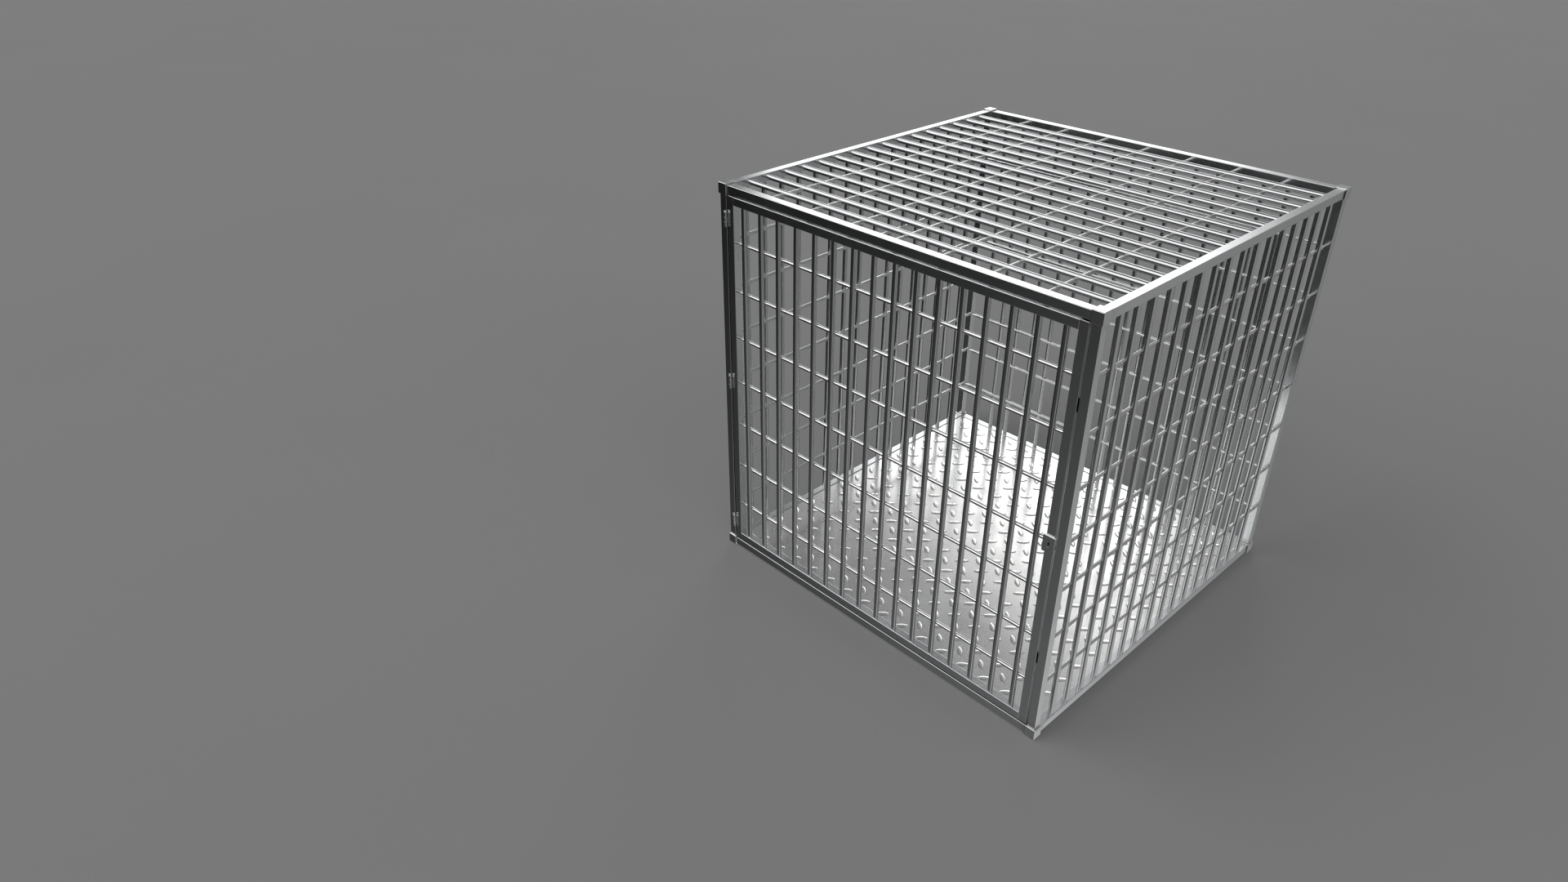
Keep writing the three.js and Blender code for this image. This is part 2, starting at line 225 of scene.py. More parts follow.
def joined(patches):
    """Several surfaces as one set of points, faces and flat coordinates."""
    points, quads, flats, start = [], [], [], 0
    for point, quad, flat in patches:
        points.append(point)
        quads.append(quad + start)
        flats.append(flat)
        start += len(point)
    return np.concatenate(points), np.concatenate(quads), np.concatenate(flats)


def copies(patch, places):
    """The same surface at each of several places, in one set of arrays."""
    point, quad, flat = patch
    places = np.asarray(places, float)
    count = len(places)
    points = (point[None] + places[:, None]).reshape(-1, 3)
    quads = (quad[None] + (np.arange(count) * len(point))[:, None, None]).reshape(-1, 4)
    return points, quads, np.tile(flat, (count, 1))


def turned(patch, axes):
    """The surface with its own X, Y and Z along three given directions."""
    point, quad, flat = patch
    return point @ np.asarray(axes, float), quad, flat


def distances(outline):
    """The distance round a closed outline at each of its points, starting at nought."""
    step = np.linalg.norm(np.diff(outline, axis=0), axis=1)
    return np.concatenate([[0.0], np.cumsum(step)])


def quarter_turns():
    """The directions of a drawing's X and Y axes after nought to three quarter turns."""
    return [np.array([[cos, sin], [-sin, cos]], float) for cos, sin in QUARTERS]


def rounded_square(half, radius, steps=6):
    """Points anticlockwise round a square with round corners. Each corner is a quarter circle
    about a point one radius inside both sides, with a narrow strip on the flats beside it, so
    that the flats shade flat."""
    turn = np.linspace(0, pi / 2, steps + 1)
    arc = radius * np.stack([np.cos(turn), np.sin(turn)], -1)
    corner = np.concatenate([[[radius, -FLAT_STRIP]], arc, [[-FLAT_STRIP, radius]]])
    return np.concatenate([(corner + half - radius) @ quarter for quarter in quarter_turns()])


def circle_outline(radius, sides):
    """Points anticlockwise round a circle."""
    turn = np.arange(sides) * 2 * pi / sides
    return radius * np.stack([np.cos(turn), np.sin(turn)], -1)


def at_heights(outlines, heights):
    """Flat outlines lifted to heights along Z, as rings."""
    outlines = np.asarray(outlines)
    lift = np.broadcast_to(np.asarray(heights)[:, None, None], outlines.shape[:2] + (1,))
    return np.concatenate([outlines, lift], -1)


INNER_ROUND = 0.3 * MM  # least radius of the edges inside a tube
END_STRIP = 0.3 * MM  # width of the strip beside a tube's end bevel that keeps its side flat


def hollow_tube(side, span, round_edge, wall, bevel):
    """A square tube along Z, centred on the origin. The outer outline runs from end to end, turns
    over a small bevel onto the end face, and comes back as the inner wall."""
    half, end = side / 2, span / 2
    outer = rounded_square(half, round_edge)
    lip = rounded_square(half - bevel, round_edge - bevel)
    inner = rounded_square(half - wall, max(round_edge - wall, INNER_ROUND))
    low, high = -end + bevel, end - bevel
    strip_low, strip_high = low + END_STRIP, high - END_STRIP
    outlines = [outer, outer, outer, outer, lip, inner, inner, lip]
    heights = [low, strip_low, strip_high, high, end, end, -end, -end]
    along = [low, strip_low, strip_high, high, end, end + wall, 3 * end, 3 * end + wall]
    return loft(at_heights(outlines, heights), along, distances(outer), wrap_rows=True)


def round_rod(diameter, span, sides):
    """A plain cylinder along Z, centred on the origin, with closed ends."""
    edge = circle_outline(diameter / 2, sides)
    point = np.zeros_like(edge)
    end = span / 2
    heights = [-end, -end, end, end]
    along = [-end - diameter / 2, -end, end, end + diameter / 2]
    rings = at_heights([point, edge, edge, point], heights)
    return loft(rings, along, distances(edge))


def revolved(profile, sides, ring=False):
    """A profile of (radius, height) carried round Z. It runs from the bottom of the axis to its
    top, or for a ring in a closed loop, anticlockwise when seen with the radius to the right."""
    radius, height = np.array(profile, float).T
    unit = circle_outline(1.0, sides)
    rings = at_heights(radius[:, None, None] * unit[None], height)
    along = distances(np.stack([radius, height], -1))
    return loft(rings, along, distances(unit * radius.max()), wrap_rows=ring)


def rounded_block(low, high, radius, steps=4):
    """A box with round edges and corners. Each face of a cube is a grid whose lines crowd towards
    the edges. A point goes to the nearest place on the inner box, one radius inside, plus one
    radius towards where it was, so that a flat stays flat and an edge becomes a quarter circle."""
    low, high = np.asarray(low, float), np.asarray(high, float)
    middle, half = (low + high) / 2, (high - low) / 2
    turn = np.linspace(0, pi / 4, steps + 1)
    crowd = radius * np.tan(turn)
    patches = []
    for axis in range(3):
        across, up = [(axis + 1) % 3, (axis + 2) % 3]
        lines = []
        for side in (across, up):
            flat = half[side] - radius
            edge = np.concatenate([[flat - min(FLAT_STRIP, flat / 2)], flat + crowd])
            lines.append(np.concatenate([-edge[::-1], edge]))
        grid_across, grid_up = np.meshgrid(*lines, indexing="ij")
        for sign in (-1, 1):
            point = np.zeros(grid_across.shape + (3,))
            point[..., across], point[..., up] = grid_across, grid_up
            point[..., axis] = sign * half[axis]
            inside = np.clip(point, radius - half, half - radius)
            away = point - inside
            away *= radius / np.maximum(np.linalg.norm(away, axis=-1, keepdims=True), 1e-12)
            quads = quads_of_grid(*grid_across.shape)
            if sign > 0:
                quads = quads[:, ::-1]
            flat = np.stack([grid_across, grid_up], -1).reshape(-1, 2)
            patches.append(((middle + inside + away).reshape(-1, 3), quads, flat))
    return joined(patches)


def mesh_object(name, patch, material, sharp_edge=SHARP_EDGE):
    """The surface as a mesh object at the origin, with its doubled points merged, its faces
    turned outwards and its flat coordinates as the UV map "grain"."""
    point, quad, flat = patch
    mesh = bpy.data.meshes.new(name)
    mesh.vertices.add(len(point))
    mesh.vertices.foreach_set("co", point.ravel())
    mesh.loops.add(quad.size)
    mesh.loops.foreach_set("vertex_index", quad.ravel())
    mesh.polygons.add(len(quad))
    mesh.polygons.foreach_set("loop_start", np.arange(0, quad.size, 4))
    mesh.polygons.foreach_set("loop_total", np.full(len(quad), 4))
    mesh.update(calc_edges=True)
    grain = mesh.uv_layers.new(name="grain")
    grain.data.foreach_set("uv", flat[quad.ravel()].ravel())
    shape = bmesh.new()
    shape.from_mesh(mesh)
    bmesh.ops.remove_doubles(shape, verts=shape.verts, dist=1e-7)
    bmesh.ops.dissolve_degenerate(shape, edges=shape.edges, dist=1e-8)
    bmesh.ops.recalc_face_normals(shape, faces=shape.faces)
    shape.to_mesh(mesh)
    shape.free()
    mesh.validate()
    mesh.polygons.foreach_set("use_smooth", np.ones(len(mesh.polygons), bool))
    mesh.set_sharp_from_angle(angle=radians(sharp_edge))
    mesh.materials.append(material)
    piece = bpy.data.objects.new(name, mesh)
    bpy.context.scene.collection.objects.link(piece)
    return piece


def stand_for(node, patch, material, sharp_edge=SHARP_EDGE):
    """A finished piece in place of one packed node, on the same body."""
    piece = mesh_object(node + "_finished", patch, material, sharp_edge)
    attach(piece, BODY_OF[node])
    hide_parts(node)
    return piece


# ---- Shader wiring ----


class Wire:
    """An output socket whose arithmetic adds Math nodes."""

    def __init__(self, wiring, socket):
        self.wiring = wiring
        self.socket = socket

    def _math(self, operation, *values):
        return self.wiring.add("Math", {"operation": operation}, dict(enumerate(values)))

    def __add__(self, other):
        return self._math("ADD", self, other)

    def __sub__(self, other):
        return self._math("SUBTRACT", self, other)

    def __rsub__(self, other):
        return self._math("SUBTRACT", other, self)

    def __mul__(self, other):
        return self._math("MULTIPLY", self, other)

    def __truediv__(self, other):
        return self._math("DIVIDE", self, other)

    def __pow__(self, other):
        return self._math("POWER", self, other)

    def __abs__(self):
        return self._math("ABSOLUTE", self)

    __radd__ = __add__
    __rmul__ = __mul__


class Wiring:
    """The nodes of a material or of the world."""

    def __init__(self, owner):
        owner.use_nodes = True
        self.tree = owner.node_tree
        self.tree.nodes.clear()

    def add(self, kind, options=None, inputs=None, output=0):
        """Adds a node of the type ShaderNode + kind, sets its options, then the values or links
        of its sockets, and returns one of its outputs."""
        node = self.tree.nodes.new("ShaderNode" + kind)
        for key, value in (options or {}).items():
            setattr(node, key, value)
        for key, value in (inputs or {}).items():
            if isinstance(value, Wire):
                self.tree.links.new(value.socket, node.inputs[key])
            else:
                node.inputs[key].default_value = value
        return Wire(self, node.outputs[output]) if node.outputs else node

    def mix(self, factor, one, other):
        """A colour between two colours."""
        pair = {0: factor, 6: rgba(one), 7: rgba(other)}
        return self.add("Mix", {"data_type": "RGBA"}, pair, 2)

    def smooth(self, value, start, end):
        """Nought at start and beyond it, one at end and beyond it, and a soft step between."""
        options = {"interpolation_type": "SMOOTHSTEP"}
        inputs = {"Value": value, "From Min": start, "From Max": end}
        return self.add("MapRange", options, inputs)

    def ramp(self, value, low, high, to_low, to_high):
        """A straight line from to_low at low to to_high at high, held beyond them."""
        inputs = {0: value, 1: low, 2: high, 3: to_low, 4: to_high}
        return self.add("MapRange", None, inputs)

    def noise(self, vector, scale, detail=3.0, rough=0.55):
        """Soft noise between nought and one."""
        inputs = {"Vector": vector, "Scale": scale, "Detail": detail, "Roughness": rough}
        return self.add("TexNoise", None, inputs)

    def streaks(self, vector, scales, detail):
        """Noise on the vector with each of its parts scaled on its own."""
        stretched = self.add("Mapping", None, {"Vector": vector, "Scale": scales})
        return self.noise(stretched, 1.0, detail)


def rgba(value):
    """A colour with its alpha, or a link as it is."""
    return value if isinstance(value, Wire) else (*tuple(value)[:3], 1.0)


def lit(base, factor):
    """A colour made lighter or darker, and at most white."""
    return tuple(min(1.0, part * factor) for part in base)


def finish_surface(wiring, shade, roughness, height, bump):
    """Wires a metal shader. Height is in metres and goes through a Bump node."""
    bumped = {"Strength": bump, "Distance": 1.0, "Height": height}
    normal = wiring.add("Bump", None, bumped)
    inputs = {
        "Base Color": shade,
        "Metallic": 1.0,
        "Roughness": roughness,
        "Normal": normal,
    }
    shader = wiring.add("BsdfPrincipled", None, inputs)
    wiring.add("OutputMaterial", None, {"Surface": shader})


def new_material(name):
    """A material with an empty set of nodes, and its wiring."""
    material = bpy.data.materials.get(name) or bpy.data.materials.new(name)
    return material, Wiring(material)


GROUND_END = (0.452, 0.474)  # where a tube's ground end fades in, from its middle, in metres
WELD_RING = (0.005, 0.011)  # where a weld's tint fades out, from the weld, in metres
ROUGHNESS = {
    "tube": 0.16,
    "block": 0.18,
    "rod": 0.15,
    "bar": 0.11,
    "plate": 0.15,
    "hinge": 0.27,
    "lock": 0.24,
    "works": 0.36,
}


def polished_steel(name, base, rough, tint):
    """Square tube and blocks: fine polishing lines along the piece, faint smears of handling,
    and duller, warmer steel near the ends, where the welds were ground flush."""
    material, wiring = new_material(name)
    flat = wiring.add("TexCoord", output=2)
    place = wiring.add("TexCoord", output=3)
    lines = wiring.streaks(flat, (6.0, 2600.0, 1.0), detail=4.0)
    broad = wiring.streaks(flat, (2.0, 420.0, 1.0), detail=2.0)
    smear = wiring.noise(place, scale=7.0, detail=4.0, rough=0.6)
    fine = wiring.noise(place, scale=60.0)
    reach = wiring.add("SeparateXYZ", None, {0: flat})
    near_end = wiring.smooth(abs(reach), *GROUND_END)
    worn = wiring.smooth(smear, 0.42, 0.66)
    roughness = rough + 0.05 * (lines - 0.5) + 0.07 * worn + 0.03 * (fine - 0.5) + 0.06 * near_end
    shade = wiring.mix(near_end * 0.5, base, tint)
    dulled = wiring.mix(worn * 0.10 + broad * 0.10, shade, lit(base, 0.80))
    height = lines * 6e-6 + broad * 4e-6
    finish_surface(wiring, dulled, roughness, height, 0.35)
    return material


def bright_rod(name, base, rough, tint, pitch):
    """Drawn rod: faint lines along it, and a duller, straw-coloured ring where each crossbar is
    welded on. The rod's own distance from its middle says how near the next crossbar is."""
    material, wiring = new_material(name)
    flat = wiring.add("TexCoord", output=2)
    place = wiring.add("TexCoord", output=3)
    lines = wiring.streaks(flat, (5.0, 1900.0, 1.0), detail=3.0)
    smear = wiring.noise(place, scale=9.0, rough=0.6)
    speck = wiring.noise(place, scale=240.0, detail=2.0)
    reach = wiring.add("SeparateXYZ", None, {0: flat})
    turns = wiring.add("Math", {"operation": "PINGPONG"}, {0: reach, 1: pitch / 2})
    heat = 1 - wiring.smooth(turns, *WELD_RING)
    worn = wiring.smooth(smear, 0.45, 0.7)
    roughness = rough + 0.05 * (lines - 0.5) + 0.04 * worn + 0.07 * heat + 0.03 * (speck - 0.5)
    shade = wiring.mix(heat * 0.25, base, tint)
    dulled = wiring.mix(worn * 0.16, shade, lit(base, 0.82))
    finish_surface(wiring, dulled, roughness, lines * 5e-6 + speck * 5e-6 * heat, 0.3)
    return material


def tread_steel(name, base, rough):
    """Rolled plate: a fine orange-peel skin, cloudy stains, short scuffs in two directions, and
    crowns on the lugs that are rubbed smoother and painted lighter as a highlight. The map's
    second part counts from nought at the foot of a lug to one at its crown."""
    material, wiring = new_material(name)
    flat = wiring.add("TexCoord", output=2)
    place = wiring.add("TexCoord", output=3)
    skin = wiring.noise(place, scale=420.0, detail=2.0)
    cloud = wiring.noise(place, scale=5.0, detail=5.0, rough=0.62)
    stain = wiring.noise(place, scale=17.0, detail=4.0, rough=0.65)
    along_x = wiring.streaks(place, (9.0, 700.0, 700.0), detail=2.0)
    along_y = wiring.streaks(place, (640.0, 11.0, 640.0), detail=2.0)
    scuff = wiring.smooth(along_x, 0.62, 0.74) + wiring.smooth(along_y, 0.64, 0.76)
    crown = wiring.add("SeparateXYZ", None, {0: flat}, 1)
    # the lugs' crowns: rubbed smoother in the roughness, and painted lighter as a highlight below
    rub_and_painted_highlight = wiring.smooth(crown, 0.45, 0.95)
    dull = wiring.smooth(cloud, 0.42, 0.68)
    spots = wiring.smooth(stain, 0.56, 0.72)
    roughness = rough + 0.04 * dull + 0.03 * spots + 0.02 * scuff - 0.03 * rub_and_painted_highlight
    shade = wiring.mix(0.10 * dull + 0.07 * spots, base, lit(base, 0.72))
    # painted highlight: the lugs' crowns are painted lighter than the rest of the plate
    worn = wiring.mix(rub_and_painted_highlight * 0.5, shade, lit(base, 1.1))
    finish_surface(wiring, worn, roughness, skin * 3e-6 + scuff * -1e-6, 0.3)
    return material


def machined_steel(name, base, rough, marks_scale):
    """Small turned and milled pieces: tool marks a fraction of a millimetre apart, and a film of
    grime in patches."""
    material, wiring = new_material(name)
    place = wiring.add("TexCoord", output=3)
    bands = {"Vector": place, "Scale": marks_scale, "Distortion": 1.5}
    marks = wiring.add("TexWave", {"bands_direction": "Z"}, bands, 1)
    grime = wiring.noise(place, scale=90.0, detail=4.0, rough=0.6)
    film = wiring.smooth(grime, 0.46, 0.64)
    roughness = rough + 0.06 * (marks - 0.5) + 0.14 * film
    shade = wiring.mix(film * 0.35, base, lit(base, 0.62))
    finish_surface(wiring, shade, roughness, marks * 3e-6 + grime * 8e-6, 0.4)
    return material


def steels():
    """Every steel by name."""
    colours, grille = settings("colours"), settings("grille")
    tube, weld = tuple(colours.tube), tuple(colours.weld)
    rod, bar = tuple(colours.rod), tuple(colours.bar)
    hinge, works = tuple(colours.hinge), tuple(colours.works)
    rough = ROUGHNESS
    return {
        "tube": polished_steel("polished_tube", tube, rough["tube"], weld),
        "block": polished_steel("polished_block", tube, rough["block"], tube),
        "rod": bright_rod("bright_rod", rod, rough["rod"], weld, grille.bar_pitch),
        "bar": bright_rod("bright_crossbar", bar, rough["bar"], weld, grille.rod_pitch),
        "plate": tread_steel("tread_plate", tuple(colours.plate), rough["plate"]),
        "hinge": machined_steel("machined_hinge", hinge, rough["hinge"], marks_scale=900.0),
        "lock": polished_steel("lock_face", tube, rough["lock"], tube),
        "works": machined_steel("lock_works", works, rough["works"], marks_scale=500.0),
    }


# ---- Placing pieces in the packed boxes ----

# For a piece made along Z: where its own X, Y and Z point when it lies along X, Y or Z
AXES_ALONG = {
    0: ((0, 1, 0), (0, 0, 1), (1, 0, 0)),
    1: ((0, 0, 1), (1, 0, 0), (0, 1, 0)),
    2: ((1, 0, 0), (0, 1, 0), (0, 0, 1)),
}

TUBES = [node for node in SLOT_OF if node.startswith(("rail_", "post_"))]
DOOR_TUBES = [node for node in SLOT_OF if node.startswith(("door_stile", "door_rail"))]
BLOCKS = [node for node in SLOT_OF if node.startswith("corner_")]
# The axis and sign that a grille's outer face looks along, the axis its rods lie along, and a
# tube beside it
GRILLES = {
    "grille_left": (0, -1, 2, "post_front_left"),
    "grille_right": (0, 1, 2, "post_front_right"),
    "grille_back": (1, 1, 2, "post_back_left"),
    "grille_top": (2, 1, 0, "rail_top_front"),
    "door_grille": (1, -1, 2, "door_stile_left"),
}
ROD_SIDES, BAR_SIDES = 20, 16
WELD_REACH = 0.4 * MM  # how much longer rods and crossbars are than the packed ones
FRAME_REACH = 0.2 * MM  # the same for the frame's tubes
DOOR_REACH = 0.5 * MM  # the same for the door's tubes
HINGES = ("lower", "middle", "upper")


class KENNEL_OT_tubes(bpy.types.Operator):
    """Make the square tubes of the frame and of the door."""

    bl_idname = "kennel.tubes"
    bl_label = "Tubes"

    def execute(self, context):
        sizes, steel = settings("frame"), steels()["tube"]
        for node in TUBES + DOOR_TUBES:
            low, high = node_box(node)
            span = high - low
            axis = int(np.argmax(span))
            side = np.delete(span, axis).mean()
            reach = span[axis] + (FRAME_REACH if node in TUBES else DOOR_REACH)
            tube = hollow_tube(side, reach, sizes.tube_round, sizes.tube_wall, sizes.end_bevel)
            point, quad, flat = turned(tube, AXES_ALONG[axis])
            piece = stand_for(node, (point + (low + high) / 2, quad, flat), steel)
            for hole in lock_holes(node, low, high, sizes.tube_wall):
                cut_out(piece, hole, steel)
        return {"FINISHED"}


BOLT_PLAY = 0.5 * MM  # room round the bolt in its holes
CASE_GAP = 0.3 * MM  # room round the lock's case, and how far a hole reaches past a wall
HOLE_ROUND = 0.2 * MM  # radius of a hole's edges


def lock_holes(node, low, high, wall):
    """The boxes that are cut out of a tube for the lock: a pocket for the case in the lock-side
    stile, and a hole for the bolt in that stile and in the post beside it."""
    if node not in ("door_stile_right", "post_front_right"):
        return []
    bolt_low, bolt_high = node_box("lock_bolt")
    way_low, way_high = bolt_low - BOLT_PLAY, bolt_high + BOLT_PLAY
    if node == "post_front_right":
        way_low[0], way_high[0] = low[0] - CASE_GAP, low[0] + wall + CASE_GAP
        return [(way_low, way_high)]
    way_low[0], way_high[0] = high[0] - wall - CASE_GAP, high[0] + CASE_GAP
    case_low, case_high = node_box("lock_case")
    pocket_low, pocket_high = case_low - CASE_GAP, case_high + CASE_GAP
    pocket_low[1] = low[1] - CASE_GAP
    return [(pocket_low, pocket_high), (way_low, way_high)]


def cut_out(piece, hole, material):
    """Cuts a box with slightly rounded edges out of a piece. The box is then removed."""
    cutter = mesh_object("cutter", rounded_block(*hole, HOLE_ROUND, 2), material)
    cut = piece.modifiers.new("cut", "BOOLEAN")
    cut.operation = "DIFFERENCE"
    cut.solver = "EXACT"
    cut.object = cutter
    with bpy.context.temp_override(object=piece, active_object=piece):
        bpy.ops.object.modifier_apply(modifier=cut.name)
    bpy.data.objects.remove(cutter)
    piece.data.set_sharp_from_angle(angle=radians(SHARP_EDGE))


class KENNEL_OT_blocks(bpy.types.Operator):
    """Make the solid corner blocks."""

    bl_idname = "kennel.blocks"
    bl_label = "Corner blocks"

    def execute(self, context):
        sizes, steel = settings("frame"), steels()["block"]
        middle = np.array([0.0, 0.0, cad_box[1][2] / 2])
        for node in BLOCKS:
            low, high = node_box(node)
            outwards = (low + high) / 2 > middle
            corner = np.where(outwards, high, low)
            far = corner + np.where(outwards, -1, 1) * sizes.block_side
            box = (np.minimum(corner, far), np.maximum(corner, far))
            stand_for(node, rounded_block(*box, sizes.block_round), steel)
        return {"FINISHED"}


def spread(count, pitch):
    """Offsets of a row of things about its middle."""
    return (np.arange(count) - (count - 1) / 2) * pitch


class KENNEL_OT_grilles(bpy.types.Operator):
    """Make the welded grilles: round rods, with crossbars behind them."""

    bl_idname = "kennel.grilles"
    bl_label = "Grilles"

    def execute(self, context):
        sizes, steel = settings("grille"), steels()
        for node, (face, sign, along, tube) in GRILLES.items():
            low, high = node_box(node)
            middle = (low + high) / 2
            span = (high - low)[along] + WELD_REACH
            tube_face = node_box(tube)[sign > 0][face]
            across = 3 - face - along
            rod = turned(round_rod(sizes.rod_diameter, span, ROD_SIDES), AXES_ALONG[along])
            bar = turned(round_rod(sizes.bar_diameter, span, BAR_SIDES), AXES_ALONG[across])
            rods = np.tile(middle, (sizes.rod_count, 1))
            rods[:, across] += spread(sizes.rod_count, sizes.rod_pitch)
            rods[:, face] = tube_face - sign * sizes.rod_depth
            bars = np.tile(middle, (sizes.bar_count, 1))
            bars[:, along] += spread(sizes.bar_count, sizes.bar_pitch)
            bars[:, face] = tube_face - sign * sizes.bar_depth
            lattice = copies(rod, rods)
            whole = joined([lattice, copies(bar, bars)])
            piece = stand_for(node, whole, steel["rod"])
            piece.data.materials.append(steel["bar"])
            is_bar = np.arange(len(piece.data.polygons)) >= len(lattice[1])
            piece.data.polygons.foreach_set("material_index", is_bar.astype(np.int32))
        return {"FINISHED"}


LUG_ROWS = 18  # rows of lugs on each side of the middle, past the plate's edge
LUG_MARGIN = 14 * MM  # from the plate's edge to the nearest middle of a lug
LUG_SINK = 0.4 * MM  # how far a lug's foot lies inside the plate
LUG_SHARP_EDGE = 40  # degrees, so that a lug's back shades smoothly


def lens_lug(span, width, height):
    """A lug along X: its outline is a full lens with blunt points, and its back is nearly flat
    with steep flanks. Along the lug, the half width falls as the three-quarter power of one minus
    the square of the distance, and the height as its 0.2nd power. Across it, the height is the
    0.35th power of a half circle's. Below, it is closed by a flat face inside the plate."""
    along = np.sin(np.linspace(-pi / 2, pi / 2, 9))
    lens = np.maximum(1 - along**2, 0.0)
    turn = np.linspace(0, pi, 9)
    arch_y = np.cos(turn)[None] * lens[:, None] ** 0.75 * width / 2
    arch_z = np.abs(np.sin(turn))[None] ** 0.35 * lens[:, None] ** 0.2 * height
    crown = np.sin(turn)[None] * np.sqrt(lens)[:, None]
    x = np.broadcast_to(along[:, None] * span / 2, arch_y.shape)
    top = np.stack([x, arch_y, arch_z], -1)
    foot = top[:, [-1, 0]].copy()
    foot[..., 2] = -LUG_SINK
    rings = np.concatenate([top, foot], 1)
    point, quad, flat = loft(rings, along * span / 2, np.arange(rings.shape[1]))
    level = np.concatenate([crown, np.zeros((len(along), 3))], 1)
    flat = np.stack([flat[:, 0], level.ravel()], -1)
    return point, quad, flat


class KENNEL_OT_floor(bpy.types.Operator):
    """Make the tread plate. Its lugs stand on every second point of a square lattice, and lie
    along one diagonal and the other in alternate rows."""

    bl_idname = "kennel.floor"
    bl_label = "Tread plate"

    def execute(self, context):
        sizes, frame_sizes, steel = settings("floor"), settings("frame"), steels()["plate"]
        low, high = node_box("floor_plate")
        outline = notched_square(high[0], frame_sizes.block_side)
        plate = plate_of(outline, low[2], high[2])
        steps = np.arange(-LUG_ROWS, LUG_ROWS + 1)
        column, row = np.meshgrid(steps, steps, indexing="ij")
        x = column * sizes.lug_pitch / 2 + sizes.lug_right
        y = row * sizes.lug_pitch / 2 - sizes.lug_front
        inside = (np.abs(x) < high[0] - LUG_MARGIN) & (np.abs(y) < high[1] - LUG_MARGIN)
        room = inside & ((column + row) % 2 == 0)
        lug = lens_lug(sizes.lug_length, sizes.lug_width, sizes.lug_height)
        patches = [plate]
        slant = np.sqrt(0.5)
        for parity, lean in ((0, slant), (1, -slant)):
            chosen = room & (row % 2 == parity)
            axes = ((slant, lean, 0), (-lean, slant, 0), (0, 0, 1))
            places = np.stack([x[chosen], y[chosen], np.full(chosen.sum(), high[2])], -1)
            patches.append(copies(turned(lug, axes), places))
        stand_for("floor_plate", joined(patches), steel, LUG_SHARP_EDGE)
        return {"FINISHED"}


NOTCH_GAP = 0.3 * MM  # between the plate's notches and the corner blocks
PLATE_BEVEL = 0.4 * MM


def notched_square(edge, block):
    """Points round the plate, whose corners are cut out round the corner blocks."""
    notch = cad_box[1][0] - block - NOTCH_GAP
    side = np.array([[edge, -notch], [edge, notch], [notch, notch]])
    return np.concatenate([side @ quarter for quarter in quarter_turns()])


def plate_of(outline, bottom, top):
    """A flat plate with a small bevel round both faces, closed over its middle."""
    inset = outline - np.sign(outline) * PLATE_BEVEL
    centre = np.zeros_like(outline)
    outlines = [centre, inset, outline, outline, inset, centre]
    heights = [bottom, bottom, bottom + PLATE_BEVEL, top - PLATE_BEVEL, top, top]
    rings = at_heights(outlines, heights)
    point, quad, flat = loft(rings, np.arange(len(rings)), distances(outline))
    return point, quad, np.zeros_like(flat)


class KENNEL_OT_hinges(bpy.types.Operator):
    """Make the three pin hinges."""

    bl_idname = "kennel.hinges"
    bl_label = "Hinges"

    def execute(self, context):
        sizes, steel = settings("hinge"), steels()["hinge"]
        for name in HINGES:
            pin_low, pin_high = node_box(f"hinge_{name}_pin")
            axis = (pin_low + pin_high) / 2
            for part in ("frame_leaf", "door_leaf"):
                node = f"hinge_{name}_{part}"
                stand_for(node, leaf(node, axis, sizes), steel)
            stand_for(f"hinge_{name}_pin", pin(axis, pin_low, pin_high, sizes), steel)
        return {"FINISHED"}


PIN_PLAY = 0.2 * MM  # between the pin and a knuckle's bore
LEAF_GAP = 0.25 * MM  # between a leaf and the knuckles
LEAF_ROUND = 0.45 * MM
KNUCKLE_GAP = 0.3 * MM  # between two knuckles
KNUCKLE_BEVEL = 0.35 * MM
TONGUE_GAP = 0.4 * MM  # between a knuckle's bore and the end of the tongue that holds it
TONGUE_LAP = 0.8 * MM  # how far a tongue reaches into its leaf
TONGUE_ROUND = 0.3 * MM


def leaf(node, axis, sizes):
    """A flat leaf with rounded edges, its knuckles, and a short tongue to each of them. The
    frame's leaf has the lowest and highest knuckle, and the door's has the one between."""
    low, high = node_box(node)
    frame_low, frame_high = node_box(node.replace("door_leaf", "frame_leaf"))
    on_door = node.endswith("door_leaf")
    side = 1 if on_door else -1
    row = (frame_high[2] - frame_low[2]) / 3
    outer = sizes.knuckle_diameter / 2
    bore = sizes.pin_diameter / 2 + PIN_PLAY
    near = axis[0] + side * (outer + LEAF_GAP)
    far = high[0] if on_door else low[0]
    front, back = high[1] - sizes.leaf_thickness, high[1]
    left, right = sorted((near, far))
    flat_leaf = (left, front, frame_low[2]), (right, back, frame_high[2])
    patches = [rounded_block(*flat_leaf, LEAF_ROUND, 3)]
    left, right = sorted((axis[0] + side * (bore + TONGUE_GAP), near + side * TONGUE_LAP))
    for place in (1,) if on_door else (0, 2):
        foot = frame_low[2] + place * row + KNUCKLE_GAP / 2
        top = foot + row - KNUCKLE_GAP
        profile = [
            (bore, foot),
            (outer - KNUCKLE_BEVEL, foot),
            (outer, foot + KNUCKLE_BEVEL),
            (outer, top - KNUCKLE_BEVEL),
            (outer - KNUCKLE_BEVEL, top),
            (bore, top),
        ]
        point, quad, flat = revolved(profile, 28, ring=True)
        patches.append((point + [axis[0], axis[1], 0], quad, flat))
        patches.append(rounded_block((left, front, foot), (right, back, top), TONGUE_ROUND, 2))
    return joined(patches)


HEAD_HEIGHT = 1.6 * MM  # height of the head of a hinge's pin


